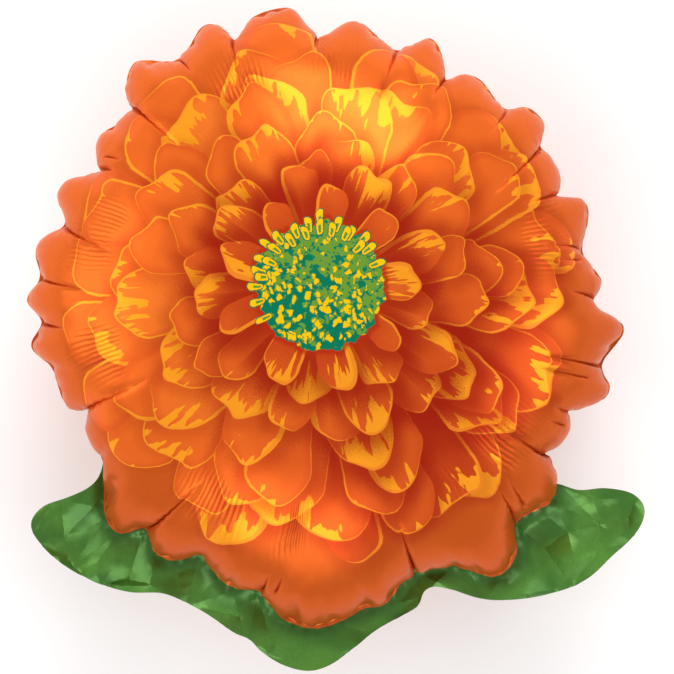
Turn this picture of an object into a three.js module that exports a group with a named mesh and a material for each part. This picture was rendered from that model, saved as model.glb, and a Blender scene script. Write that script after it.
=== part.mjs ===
// A foil balloon in the shape of a zinnia: an orange flower head with a scalloped edge over two green leaves.
// It is cut from two flat printed films, laid face to face and heat sealed round the flower's outline.
// Gas between them lifts the flower into two domes and draws the seal in, so the edge puckers into lobes.
// Outside the seal the two films go on, flat and empty, as the leaves. A self-sealing valve, two narrow films,
// runs between them from the tail at the bottom of the leaves into the flower.
//
// The films are triangulated on their flat cut. Each point is then placed on the filled balloon by a formula,
// and each film gets its thickness. The balloon lies on its back with the flower facing up: +Z up,
// millimetres, the origin on the surface that it rests on, under the middle of its box. +Y runs from the tail
// to the top petal.

import * as THREE from "three";

// Film thickness, the gap between films that touch, and the width of the heat seal.
const FILM = 0.8;
const GAP = 0.3;
const SEAL_WIDTH = 5;

// The outline's mean radius, how far gas draws it in from the flat cut, and how far each dome rises.
const MEAN_RADIUS = 284;
const DRAW_IN = 0.27 * MEAN_RADIUS;
const DOME_RISE = 0.565 * MEAN_RADIUS;

// The back dome's middle is flattened by this much where it rests.
const REST_FLAT = 2.5;

// How far the seal waves up and down, in how many waves round the flower, which swell in how many places.
const SEAL_WAVE = 7;
const SEAL_WAVES = 13;
const SEAL_SWELLS = 4;

// How far the leaves' crinkles rise, how far from the seal they are at their full height, and each one's
// length along x and along y.
const LEAF_WAVE = 4.5;
const LEAF_WAVE_GROWTH = 60;
const LEAF_CRINKLES = [[107, 195], [182, -82]];

// The valve: two films with a way in between them. It runs from the tail to VALVE_REACH past the seal.
// Round its mouth the tail is flat.
const VALVE_FILM = 0.6;
const VALVE_WIDTH = 34;
const VALVE_REACH = 120;
const TAIL = new THREE.Vector2(-14, -361);
const TAB_RADIUS = 30;

// Spacing of the triangulation's points: along the outlines, and in the middle of the flower.
const EDGE_STEP = 15;
const MIDDLE_STEP = 45;

// The scalloped outline of the filled flower, as [degrees, radius] about its centre: lobe tips and the
// notches between them, counterclockwise from the right.
const FLOWER_OUTLINE = [
  [1.5, 266], [5.8, 277], [12.5, 263], [20.1, 279], [23, 279], [26.4, 257], [29.5, 268], [34.6, 273],
  [37.3, 270], [40.5, 287], [45.2, 285], [48.3, 269], [56, 277], [58.7, 274], [61.6, 255], [66, 282],
  [69, 291], [74.7, 270], [82.6, 288], [85.2, 288], [91.3, 269], [96.6, 303], [99.4, 305], [104.5, 300],
  [108.1, 283], [111.1, 305], [113.2, 310], [120.7, 292], [127.7, 312], [132.1, 297], [134.3, 277],
  [141.4, 284], [143.6, 283], [149.2, 260], [153.8, 290], [156.9, 293], [161.6, 276], [166.9, 295],
  [169.1, 295], [173.6, 287], [178.1, 299], [182.4, 285], [187, 297], [192, 280], [198.9, 278],
  [201.6, 270], [203, 254], [206.8, 267], [214.4, 269], [223.4, 303], [227, 305], [230.4, 284],
  [235.1, 297], [239.1, 292], [242.5, 275], [248, 288], [251.6, 292], [256.3, 288], [262.3, 312],
  [267.5, 319], [272.6, 312], [277.2, 301], [281.3, 300], [288.8, 273], [296, 283], [302.9, 316],
  [307.7, 311], [311.6, 286], [319.9, 295], [324.4, 282], [326.9, 257], [329.9, 267], [333.6, 270],
  [337.3, 262], [342.3, 291], [344.6, 294], [348.5, 282], [356.5, 299],
];

// The leaves' outer edge, as [x, y] from the flower's centre: left leaf, tail, right leaf.
const LEAF_OUTLINE = [
  [-222, -152], [-227, -168], [-236, -177], [-260, -188], [-282, -196], [-293, -210], [-289, -227],
  [-274, -246], [-254, -260], [-226, -275], [-198, -282], [-162, -283], [-139, -294], [-113, -309],
  [-91, -322], [-76, -328], [-64, -341], [-43, -355], [-16, -361], [6, -354], [26, -339], [49, -321],
  [76, -306], [92, -296], [98, -282], [108, -276], [126, -279], [156, -288], [186, -289], [219, -286],
  [246, -278], [266, -266], [286, -247], [304, -229], [316, -210], [318, -196], [307, -184], [279, -178],
  [252, -180], [229, -172],
];

const FLOWER_ORANGE = new THREE.Color(0xe8601c);
const LEAF_GREEN = new THREE.Color(0x4f8a35);
const PRINTED_FILM = new THREE.MeshStandardMaterial({ vertexColors: true, roughness: 0.28, metalness: 0.35 });
const CLEAR_FILM = new THREE.MeshStandardMaterial({
  color: 0xe9edf0, roughness: 0.45, metalness: 0, transparent: true, opacity: 0.55,
});

function fromPolar([degrees, radius]) {
  const angle = THREE.MathUtils.degToRad(degrees);
  return new THREE.Vector2(radius * Math.cos(angle), radius * Math.sin(angle));
}

// Points at even steps along a smooth curve.
function smoothLine(points, closed, step) {
  const curve = new THREE.CatmullRomCurve3(
    points.map(({ x, y }) => new THREE.Vector3(x, y, 0)),
    closed,
    "centripetal",
  );
  curve.arcLengthDivisions = 4000;
  const spaced = curve.getSpacedPoints(Math.round(curve.getLength() / step));
  if (closed) spaced.pop();
  return spaced.map(({ x, y }) => new THREE.Vector2(x, y));
}

const movedOut = (p, distance) => p.clone().setLength(p.length() + distance);

function isInside(p, loop) {
  let inside = false;
  loop.forEach((a, i) => {
    const b = loop[(i + 1) % loop.length];
    const crosses = a.y > p.y !== b.y > p.y;
    if (crosses && p.x < ((b.x - a.x) * (p.y - a.y)) / (b.y - a.y) + a.x) inside = !inside;
  });
  return inside;
}

// Delaunay triangles of a set of points, which are added one at a time.
function triangulate(points) {
  const count = points.length;
  const far = 1e5;
  const all = [...points, { x: -far, y: -far }, { x: far, y: -far }, { x: 0, y: far }];
  const withCircle = (a, b, c) => {
    const [p, q, r] = [all[a], all[b], all[c]];
    const d = 2 * (p.x * (q.y - r.y) + q.x * (r.y - p.y) + r.x * (p.y - q.y));
    const [pp, qq, rr] = [p, q, r].map((v) => v.x * v.x + v.y * v.y);
    const x = (pp * (q.y - r.y) + qq * (r.y - p.y) + rr * (p.y - q.y)) / d;
    const y = (pp * (r.x - q.x) + qq * (p.x - r.x) + rr * (q.x - p.x)) / d;
    return { corners: [a, b, c], x, y, radius2: (p.x - x) ** 2 + (p.y - y) ** 2 };
  };
  let triangles = [withCircle(count, count + 1, count + 2)];
  points.forEach((p, i) => {
    const rim = new Map();
    triangles = triangles.filter((t) => {
      if ((p.x - t.x) ** 2 + (p.y - t.y) ** 2 > t.radius2) return true;
      t.corners.forEach((a, k) => {
        const b = t.corners[(k + 1) % 3];
        if (!rim.delete(`${b},${a}`)) rim.set(`${a},${b}`, [a, b]);
      });
      return false;
    });
    for (const [a, b] of rim.values()) triangles.push(withCircle(a, b, i));
  });
  return triangles.map((t) => t.corners).filter((corners) => Math.max(...corners) < count);
}

const outline = smoothLine(FLOWER_OUTLINE.map(fromPolar), true, EDGE_STEP * 0.8);

// The flat cut: its points and triangles, the triangles that lie under the valve, and which points lie on the
// tail's tab and on the leaves.
function cutFilms() {
  const leafEdge = smoothLine(LEAF_OUTLINE.map(([x, y]) => new THREE.Vector2(x, y)), false, EDGE_STEP * 0.9);
  const nearest = (p) =>
    outline.reduce((best, q, i) => (q.distanceTo(p) < outline[best].distanceTo(p) ? i : best), 0);
  const joint = outline.slice(nearest(leafEdge.at(0)), nearest(leafEdge.at(-1)) + 1);

  const flower = outline.map((p) => movedOut(p, DRAW_IN));
  const seal = outline.map((p) => movedOut(p, DRAW_IN - SEAL_WIDTH));
  const leafRim = leafEdge.slice(1, -1).map((p) => movedOut(p, DRAW_IN));
  const leaf = [...leafRim, ...joint.map((p) => movedOut(p, DRAW_IN)).reverse()];
  const isFilm = (p) => isInside(p, flower) || isInside(p, leaf);

  const points = [...flower, ...seal, ...leafRim];
  const addIfClear = (p, clearance) => {
    if (points.every((q) => q.distanceTo(p) > clearance)) points.push(p);
  };

  const tail = movedOut(TAIL, DRAW_IN);
  const valveTop = Math.min(...seal.map((p) => p.y)) + VALVE_REACH;
  const rows = Math.round((valveTop - tail.y) / EDGE_STEP);
  for (let row = 0; row < rows; row += 1) {
    const y = THREE.MathUtils.lerp(valveTop, tail.y, row / rows);
    for (const side of [-0.5, 0, 0.5]) {
      addIfClear(new THREE.Vector2(tail.x + side * VALVE_WIDTH, y), EDGE_STEP * 0.5);
    }
  }

  const reach = MEAN_RADIUS + DRAW_IN;
  for (let radius = 0, ring = 0; radius < 1.4 * reach; ring += 1) {
    const outwards = THREE.MathUtils.smoothstep(radius, 0.25 * reach, 0.8 * reach);
    const step = THREE.MathUtils.lerp(MIDDLE_STEP, EDGE_STEP, outwards);
    const around = Math.max(1, Math.round((2 * Math.PI * radius) / step));
    for (let k = 0; k < around; k += 1) {
      const p = fromPolar([(360 * (k + (ring % 2) / 2)) / around, radius]);
      if (isFilm(p)) addIfClear(p, step * 0.68);
    }
    radius += step * 0.87;
  }

  const centre = (corners) =>
    corners.reduce((sum, i) => sum.add(points[i]), new THREE.Vector2()).divideScalar(3);
  const triangles = triangulate(points).filter((corners) => isFilm(centre(corners)));
  const valve = triangles.filter((corners) => {
    const { x, y } = centre(corners);
    return Math.abs(x - tail.x) < VALVE_WIDTH / 2 && y < valveTop;
  });
  const isTab = points.map((p) => p.distanceTo(tail) < TAB_RADIUS);
  const isLeaf = points.map((p, i) => i >= 2 * outline.length && !isInside(p, flower));
  return { points, triangles, valve, isTab, isLeaf };
}

// The filled balloon's outline radius in the direction of a point.
function outlineRadius(p) {
  const angle = p.angle();
  const past = outline.findIndex((q) => q.angle() > angle);
  const b = outline[Math.max(past, 0)];
  const a = outline[(past > 0 ? past : outline.length) - 1];
  const turn = (from, to) => (to.angle() - from.angle() + 2 * Math.PI) % (2 * Math.PI);
  return THREE.MathUtils.lerp(a.length(), b.length(), turn(a, p) / turn(a, b));
}

// A dome's profile: two discs that bend but cannot stretch, sealed round the rim and blown up, take this
// curve. Each row holds the way along the film from the seal, the radius and the height, all from 0 to 1.
function domeProfile() {
  const rows = [[0, 1, 0]];
  const steps = 100;
  for (let i = 0, way = 0, height = 0; i < steps; i += 1) {
    const radius = 1 - ((i + 0.5) / steps) ** 2;
    const part = 1 / steps / Math.sqrt((1 + radius) * (1 + radius ** 2));
    way += part;
    height += part * radius ** 2;
    rows.push([way, 1 - ((i + 1) / steps) ** 2, height]);
  }
  const [fullWay, , fullHeight] = rows.at(-1);
  return rows.map(([way, radius, height]) => [way / fullWay, radius, height / fullHeight]);
}

const profile = domeProfile();

function onProfile(way) {
  const next = Math.max(1, profile.findIndex((row) => row[0] >= way));
  const [a, b] = [profile[next - 1], profile[next]];
  const share = (way - a[0]) / (b[0] - a[0]);
  return { radius: THREE.MathUtils.lerp(a[1], b[1], share), height: THREE.MathUtils.lerp(a[2], b[2], share) };
}

function sealWave(p) {
  const angle = p.angle();
  return SEAL_WAVE * Math.sin(SEAL_WAVES * angle) * Math.cos(SEAL_SWELLS * angle + 1);
}

function leafWave(p, outside) {
  const rise = LEAF_WAVE * THREE.MathUtils.smoothstep(outside, 0, LEAF_WAVE_GROWTH);
  return LEAF_CRINKLES.reduce((sum, [x, y]) => sum + rise * Math.sin(2 * Math.PI * (p.x / x + p.y / y)), 0);
}

// Where a point of the flat cut lies on the filled balloon: on the front film, side 1, or on the back, side -1.
function fill(p, side) {
  const seal = outlineRadius(p) - SEAL_WIDTH;
  const outside = p.length() - DRAW_IN - seal;
  if (outside > -GAP) {
    const place = movedOut(p, -DRAW_IN);
    return new THREE.Vector3(place.x, place.y, sealWave(p) + leafWave(p, outside));
  }
  const share = p.length() / (seal + DRAW_IN);
  const { radius, height } = onProfile(1 - share);
  const place = p.clone().setLength(radius * seal);
  const z = side * DOME_RISE * height + sealWave(p) * share ** 6;
  return new THREE.Vector3(place.x, place.y, Math.max(z, REST_FLAT - DOME_RISE));
}

const turned = ([a, b, c], side) => (side > 0 ? [a, b, c] : [b, a, c]);

// A film as a sheet: its points, its triangles and its normals. On the tab and the resting spot, which are
// flat, the normals are upright.
function makeSheet(side) {
  const points = cut.points.map((p, i) => {
    const point = fill(p, side);
    return cut.isTab[i] ? point.setZ(0) : point;
  });
  const triangles = cut.triangles.map((corners) => turned(corners, side));
  const normals = points.map(() => new THREE.Vector3());
  for (const [a, b, c] of triangles) {
    const [ab, ac] = [b, c].map((i) => points[i].clone().sub(points[a]));
    const normal = ab.cross(ac).normalize();
    for (const i of [a, b, c]) normals[i].add(normal);
  }
  normals.forEach((normal, i) => {
    const isFlat = cut.isTab[i] || points[i].z <= REST_FLAT - DOME_RISE;
    if (isFlat) normal.set(0, 0, side);
    else normal.normalize();
  });
  return { points, triangles, normals };
}

// A film's closed body. Its two faces lie at the distances near and far from the sheet, along its normals.
function filmBody(name, material, sheet, triangles, near, far) {
  const used = [...new Set(triangles.flat())];
  const place = new Map(used.map((i, k) => [i, k]));
  const face = (distance) =>
    used.flatMap((i) => sheet.points[i].clone().addScaledVector(sheet.normals[i], distance(i)).toArray());
  const count = used.length;
  const rim = new Map();
  const index = [];
  for (const corners of triangles) {
    const [a, b, c] = corners.map((i) => place.get(i));
    index.push(a + count, b + count, c + count, a, c, b);
    for (const [p, q] of [[a, b], [b, c], [c, a]]) {
      if (!rim.delete(`${q},${p}`)) rim.set(`${p},${q}`, [p, q]);
    }
  }
  for (const [p, q] of rim.values()) index.push(p, q, q + count, p, q + count, p + count);

  const geometry = new THREE.BufferGeometry();
  geometry.setAttribute("position", new THREE.Float32BufferAttribute([...face(near), ...face(far)], 3));
  geometry.setIndex(index);
  if (material.vertexColors) {
    const colors = used.flatMap((i) => (cut.isLeaf[i] ? LEAF_GREEN : FLOWER_ORANGE).toArray());
    geometry.setAttribute("color", new THREE.Float32BufferAttribute([...colors, ...colors], 3));
  }
  geometry.computeVertexNormals();
  const mesh = new THREE.Mesh(geometry, material);
  mesh.name = name;
  return mesh;
}

const cut = cutFilms();
const front = makeSheet(1);
const back = makeSheet(-1);

// The films lie a gap apart, and further where the valve's two films lie between them. The valve follows
// the back film into the flower.
const inValve = new Set(cut.valve.flat());
const inner = (i) => GAP / 2 + (inValve.has(i) ? VALVE_FILM + GAP : 0);
const outer = (i) => inner(i) + FILM;
const valve = cut.valve.map((corners) => turned(corners, -1));
const plyNear = GAP / 2;
const plyFar = GAP / 2 + VALVE_FILM;

const group = new THREE.Group();
group.add(
  filmBody("front_film", PRINTED_FILM, front, front.triangles, inner, outer),
  filmBody("back_film", PRINTED_FILM, back, back.triangles, inner, outer),
  filmBody("valve_front_ply", CLEAR_FILM, back, valve, () => -plyFar, () => -plyNear),
  filmBody("valve_back_ply", CLEAR_FILM, back, valve, () => plyNear, () => plyFar),
);

const box = new THREE.Box3().setFromObject(group);
const middle = box.getCenter(new THREE.Vector3());
group.position.set(-middle.x, -middle.y, -box.min.z);

export default group;
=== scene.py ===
"""A flower-shaped foil balloon, filled with gas and laid on its back.

Lengths are in mm until a mesh is made.
"""

import math

import bpy
import numpy as np
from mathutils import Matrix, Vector
from mathutils.geometry import delaunay_2d_cdt


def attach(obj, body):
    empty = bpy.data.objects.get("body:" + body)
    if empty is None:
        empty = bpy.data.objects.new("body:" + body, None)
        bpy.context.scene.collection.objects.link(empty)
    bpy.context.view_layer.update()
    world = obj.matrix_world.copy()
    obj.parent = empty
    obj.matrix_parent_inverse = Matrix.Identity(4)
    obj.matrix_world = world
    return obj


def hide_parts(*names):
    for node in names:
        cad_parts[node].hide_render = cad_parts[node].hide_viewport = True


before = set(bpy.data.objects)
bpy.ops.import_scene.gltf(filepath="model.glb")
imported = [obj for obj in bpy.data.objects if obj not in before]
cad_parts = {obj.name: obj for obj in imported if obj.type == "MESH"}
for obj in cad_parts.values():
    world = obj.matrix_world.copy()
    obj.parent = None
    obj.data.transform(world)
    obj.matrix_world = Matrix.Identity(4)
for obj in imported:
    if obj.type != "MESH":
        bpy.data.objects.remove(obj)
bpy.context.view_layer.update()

# The balloon's sizes, as in its source. Plan points are measured from the flower's centre.
FLOWER_CENTRE = np.array((-9.729, 29.383, 158.91))
SEAL_WIDTH = 5.0
MEAN_RADIUS = 284.0
DRAW_IN = 0.27 * MEAN_RADIUS
DOME_RISE = 0.565 * MEAN_RADIUS
REST_FLAT = 2.5
SEAL_WAVE = 7.0
SEAL_WAVES = 13
SEAL_SWELLS = 4
LEAF_WAVE = 4.5
LEAF_WAVE_GROWTH = 60
LEAF_CRINKLES = ((107, 195), (182, -82))
TAIL = (-14.0, -361.0)
TAB_RADIUS = 30.0
VALVE_WIDTH = 34.0
VALVE_REACH = 120.0
FLOWER_OUTLINE = [  # degrees, radius
    (1.5, 266), (5.8, 277), (12.5, 263), (20.1, 279), (23, 279), (26.4, 257), (29.5, 268), (34.6, 273),
    (37.3, 270), (40.5, 287), (45.2, 285), (48.3, 269), (56, 277), (58.7, 274), (61.6, 255), (66, 282),
    (69, 291), (74.7, 270), (82.6, 288), (85.2, 288), (91.3, 269), (96.6, 303), (99.4, 305), (104.5, 300),
    (108.1, 283), (111.1, 305), (113.2, 310), (120.7, 292), (127.7, 312), (132.1, 297), (134.3, 277),
    (141.4, 284), (143.6, 283), (149.2, 260), (153.8, 290), (156.9, 293), (161.6, 276), (166.9, 295),
    (169.1, 295), (173.6, 287), (178.1, 299), (182.4, 285), (187, 297), (192, 280), (198.9, 278),
    (201.6, 270), (203, 254), (206.8, 267), (214.4, 269), (223.4, 303), (227, 305), (230.4, 284),
    (235.1, 297), (239.1, 292), (242.5, 275), (248, 288), (251.6, 292), (256.3, 288), (262.3, 312),
    (267.5, 319), (272.6, 312), (277.2, 301), (281.3, 300), (288.8, 273), (296, 283), (302.9, 316),
    (307.7, 311), (311.6, 286), (319.9, 295), (324.4, 282), (326.9, 257), (329.9, 267), (333.6, 270),
    (337.3, 262), (342.3, 291), (344.6, 294), (348.5, 282), (356.5, 299),
]
LEAF_OUTLINE = [  # x, y
    (-222, -152), (-227, -168), (-236, -177), (-260, -188), (-282, -196), (-293, -210), (-289, -227),
    (-274, -246), (-254, -260), (-226, -275), (-198, -282), (-162, -283), (-139, -294), (-113, -309),
    (-91, -322), (-76, -328), (-64, -341), (-43, -355), (-16, -361), (6, -354), (26, -339), (49, -321),
    (76, -306), (92, -296), (98, -282), (108, -276), (126, -279), (156, -288), (186, -289), (219, -286),
    (246, -278), (266, -266), (286, -247), (304, -229), (316, -210), (318, -196), (307, -184), (279, -178),
    (252, -180), (229, -172),
]

# How finely the films are cut up, how thick they are, and how they are filled
SPACING = 7.0
EDGE_STEP = 0.9 * SPACING
FILM = 0.35
GAP = 0.3
PLY = 0.15
HALF_PLY_GAP = 0.05
PRESSURE = 0.03
DAMPING = 0.95
STEPS = 60
ROUNDS = 6
SPARE_FILM = 0.15
SPARE_LEAF = 0.005

# How uneven the films start out: every point's height, and the leaves' waves, which grow away from the flower
START_UNEVEN = 0.4
START_WAVES = 24
START_WAVE_LENGTH = (45, 100)
START_WAVE = 1.2
START_WAVE_GROWTH = 25

# How strongly film takes up a squeeze, the dome's and the leaves' film keeps from folding, and what holds
# the seal's points and the leaves' in place, along the sheet and in height
PUSH_DOME = 0.6
PUSH_LEAF = 0.7
STIFF_DOME = 0.01
STIFF_LEAF = 0.2
HOLD_SEAL = 0.15
HOLD_LEAF = 0.01
HOLD_HEIGHT = 0.004

# Creases that run in from the notches, with a low bank on both sides. A bank's height is a share of the
# crease's depth. Pairs are the least and the most that a draw gives
CREASE_WIDTH = 2.6
CREASE_BANK = 0.16
CREASE_BANK_OUT = 8
CREASE_BANK_WIDTH = 5
CREASE_START = 10
CREASE_APART = 12
CREASE_LEAN = 9
CREASE_LENGTH = (75, 150)
CREASE_DEPTH = (4, 7)
SECOND_CREASE_CHANCE = 0.4
SECOND_CREASE_ASIDE = 14
SECOND_CREASE_START = 50
SECOND_CREASE_DEPTH = (2.5, 4.5)

# Facets of the crumpled leaves: the part of the flower's edge that they start from, their height at its
# notches and lobes, and where and how high the corners between it and the leaves' rim are drawn
LEAF_TURNS = (190, 345)
NOTCH_LEVEL = -9.0
LOBE_LEVEL = 4.0
FACET_OVERHANG = 4
FACET_TRIES = 1200
FACET_TURN = (200, 340)
FACET_RADIUS = (350, 470)
FACET_HEIGHT = (4, 8.5)
FACET_APART = 17
FACET_SPREAD = 15

# Facets are long: their points are spaced and joined on a plan with degrees and radius scaled by these
TURN_SCALE = 6
RADIUS_SCALE = 0.5

# How near a point counts as on a line, and as the same as another point
ON_LINE = 1e-3
SAME_POINT = 1e-5

PRINT_CENTRE = (-4.0, 19.0)
PRINT_SCALE = 1.06
DISC_RADIUS = 60.0


# Curves and distances in the plane
def from_polar(degrees, radius):
    angle = math.radians(degrees)
    return radius * math.cos(angle), radius * math.sin(angle)


def smoothstep(values, low, high):
    share = np.clip((values - low) / (high - low), 0, 1)
    return share * share * (3 - 2 * share)


def even_steps(line, step):
    way = np.r_[0, np.cumsum(np.linalg.norm(np.diff(line, axis=0), axis=1))]
    places = np.linspace(0, way[-1], round(way[-1] / step) + 1)
    return np.c_[np.interp(places, way, line[:, 0]), np.interp(places, way, line[:, 1])]


def smooth_line(points, is_loop, step):
    """Points at even steps along a centripetal Catmull-Rom curve."""
    points = np.array(points, float)
    if is_loop:
        padded = np.vstack([points[-1:], points, points[:2]])
    else:
        padded = np.vstack([2 * points[0] - points[1], points, 2 * points[-1] - points[-2]])
    dense = []
    for a, b, c, d in zip(padded, padded[1:], padded[2:], padded[3:]):
        roots = [math.sqrt(np.linalg.norm(q - p)) for p, q in ((a, b), (b, c), (c, d))]
        knots = np.cumsum([0] + roots)

        def mix(p, q, i, j, t):
            return p + (q - p) * (t - knots[i]) / (knots[j] - knots[i])

        for t in np.linspace(knots[1], knots[2], 20, endpoint=False):
            ab, bc, cd = mix(a, b, 0, 1, t), mix(b, c, 1, 2, t), mix(c, d, 2, 3, t)
            dense.append(mix(mix(ab, bc, 0, 2, t), mix(bc, cd, 1, 3, t), 1, 2, t))
    dense.append(points[0] if is_loop else points[-1])
    line = even_steps(np.array(dense), step)
    return line[:-1] if is_loop else line


def moved_out(points, distance):
    length = np.linalg.norm(points, axis=-1, keepdims=True)
    return points * (1 + distance / np.maximum(length, 1e-9))


def inside(points, loop):
    x, y = points[:, 0], points[:, 1]
    result = np.zeros(len(points), bool)
    for (ax, ay), (bx, by) in zip(loop, np.roll(loop, -1, axis=0)):
        if ay != by:
            result ^= ((ay > y) != (by > y)) & (x < (bx - ax) * (y - ay) / (by - ay) + ax)
    return result


def distance_to(points, line):
    best = np.full(len(points), np.inf)
    for a, b in zip(line[:-1], line[1:]):
        along = b - a
        share = np.clip((points - a) @ along / (along @ along), 0, 1)
        best = np.minimum(best, np.linalg.norm(points - a - share[:, None] * along, axis=1))
    return best


def closed(loop):
    return np.vstack([loop, loop[:1]])


def sides_of(triangles):
    return np.vstack([triangles[:, [0, 1]], triangles[:, [1, 2]], triangles[:, [2, 0]]])


def edges_of(triangles):
    return np.unique(np.sort(sides_of(triangles), axis=1), axis=0)


def notch_creases(rng):
    """Lines on the flat cut that run inwards from the notches between lobes: start, end and depth."""
    creases = []

    def add_crease(start, end, depth):
        line = even_steps(np.array([start, end]), 5.0)
        if all(distance_to(line, np.array(other[:2])).min() > CREASE_APART for other in creases):
            creases.append((start, end, depth))

    degrees, radii = np.array(FLOWER_OUTLINE).T
    for k, degree in enumerate(degrees):
        if radii[k] < min(radii[k - 1], radii[(k + 1) % len(radii)]):
            start = np.array(from_polar(degree, radii[k] + DRAW_IN - SEAL_WIDTH - CREASE_START))
            inwards = math.radians(degree + 180 + rng.uniform(-CREASE_LEAN, CREASE_LEAN))
            way = np.array((math.cos(inwards), math.sin(inwards)))
            end = start + rng.uniform(*CREASE_LENGTH) * way
            add_crease(start, end, rng.uniform(*CREASE_DEPTH))
            if rng.uniform() < SECOND_CREASE_CHANCE:
                side = rng.choice((-SECOND_CREASE_ASIDE, SECOND_CREASE_ASIDE))
                beside = side * np.array((-way[1], way[0]))
                start = start + SECOND_CREASE_START * way + beside
                add_crease(start, end - 5 * way + beside, rng.uniform(*SECOND_CREASE_DEPTH))
    return creases


def leaf_facets(rng):
    """The leaves' long flat facets on the flat cut: corners, facets, corners' heights, and lines between."""
    points = []
    heights = []
    degrees, radii = np.array(FLOWER_OUTLINE).T
    for k, degree in enumerate(degrees):
        beside = radii[k - 1], radii[(k + 1) % len(radii)]
        if LEAF_TURNS[0] < degree < LEAF_TURNS[1]:
            points.append((degree, radii[k] + DRAW_IN + FACET_OVERHANG))
            level = 0.0
            if radii[k] < min(beside):
                level = NOTCH_LEVEL
            elif radii[k] > max(beside):
                level = LOBE_LEVEL
            heights.append(level + rng.uniform(-1.5, 1.5))
    at_flower = len(points)
    outline = np.array(LEAF_OUTLINE, float)
    for x, y in moved_out(outline[::3], DRAW_IN + FACET_OVERHANG):
        points.append((math.degrees(math.atan2(y, x)) % 360, math.hypot(x, y)))
        heights.append(rng.uniform(-2, 2))
    at_edges = len(points)
    outline = moved_out(outline, DRAW_IN)
    for _ in range(FACET_TRIES):
        turn, radius = rng.uniform(*FACET_TURN), rng.uniform(*FACET_RADIUS)
        apart = min(math.hypot(TURN_SCALE * (turn - a), RADIUS_SCALE * (radius - r)) for a, r in points)
        if apart > FACET_APART and inside(np.array([from_polar(turn, radius)]), outline)[0]:
            points.append((turn, radius))
            height = rng.choice((-1, 1)) * rng.uniform(*FACET_HEIGHT)
            heights.append(height * (1 - 0.25 * smoothstep(radius, 390, 440)))
    scaled = [Vector((TURN_SCALE * turn, RADIUS_SCALE * radius)) for turn, radius in points]
    facets = np.array(delaunay_2d_cdt(scaled, [], [], 0, SAME_POINT)[2])
    facets = facets[np.ptp(np.array(points)[facets, 0], axis=1) < FACET_SPREAD]
    between = np.arange(len(points)) >= at_edges
    lines = [pair for pair in edges_of(facets) if between[pair].any() or (pair < at_flower).sum() == 1]
    return np.array([from_polar(*point) for point in points]), facets, np.array(heights), lines


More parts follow.
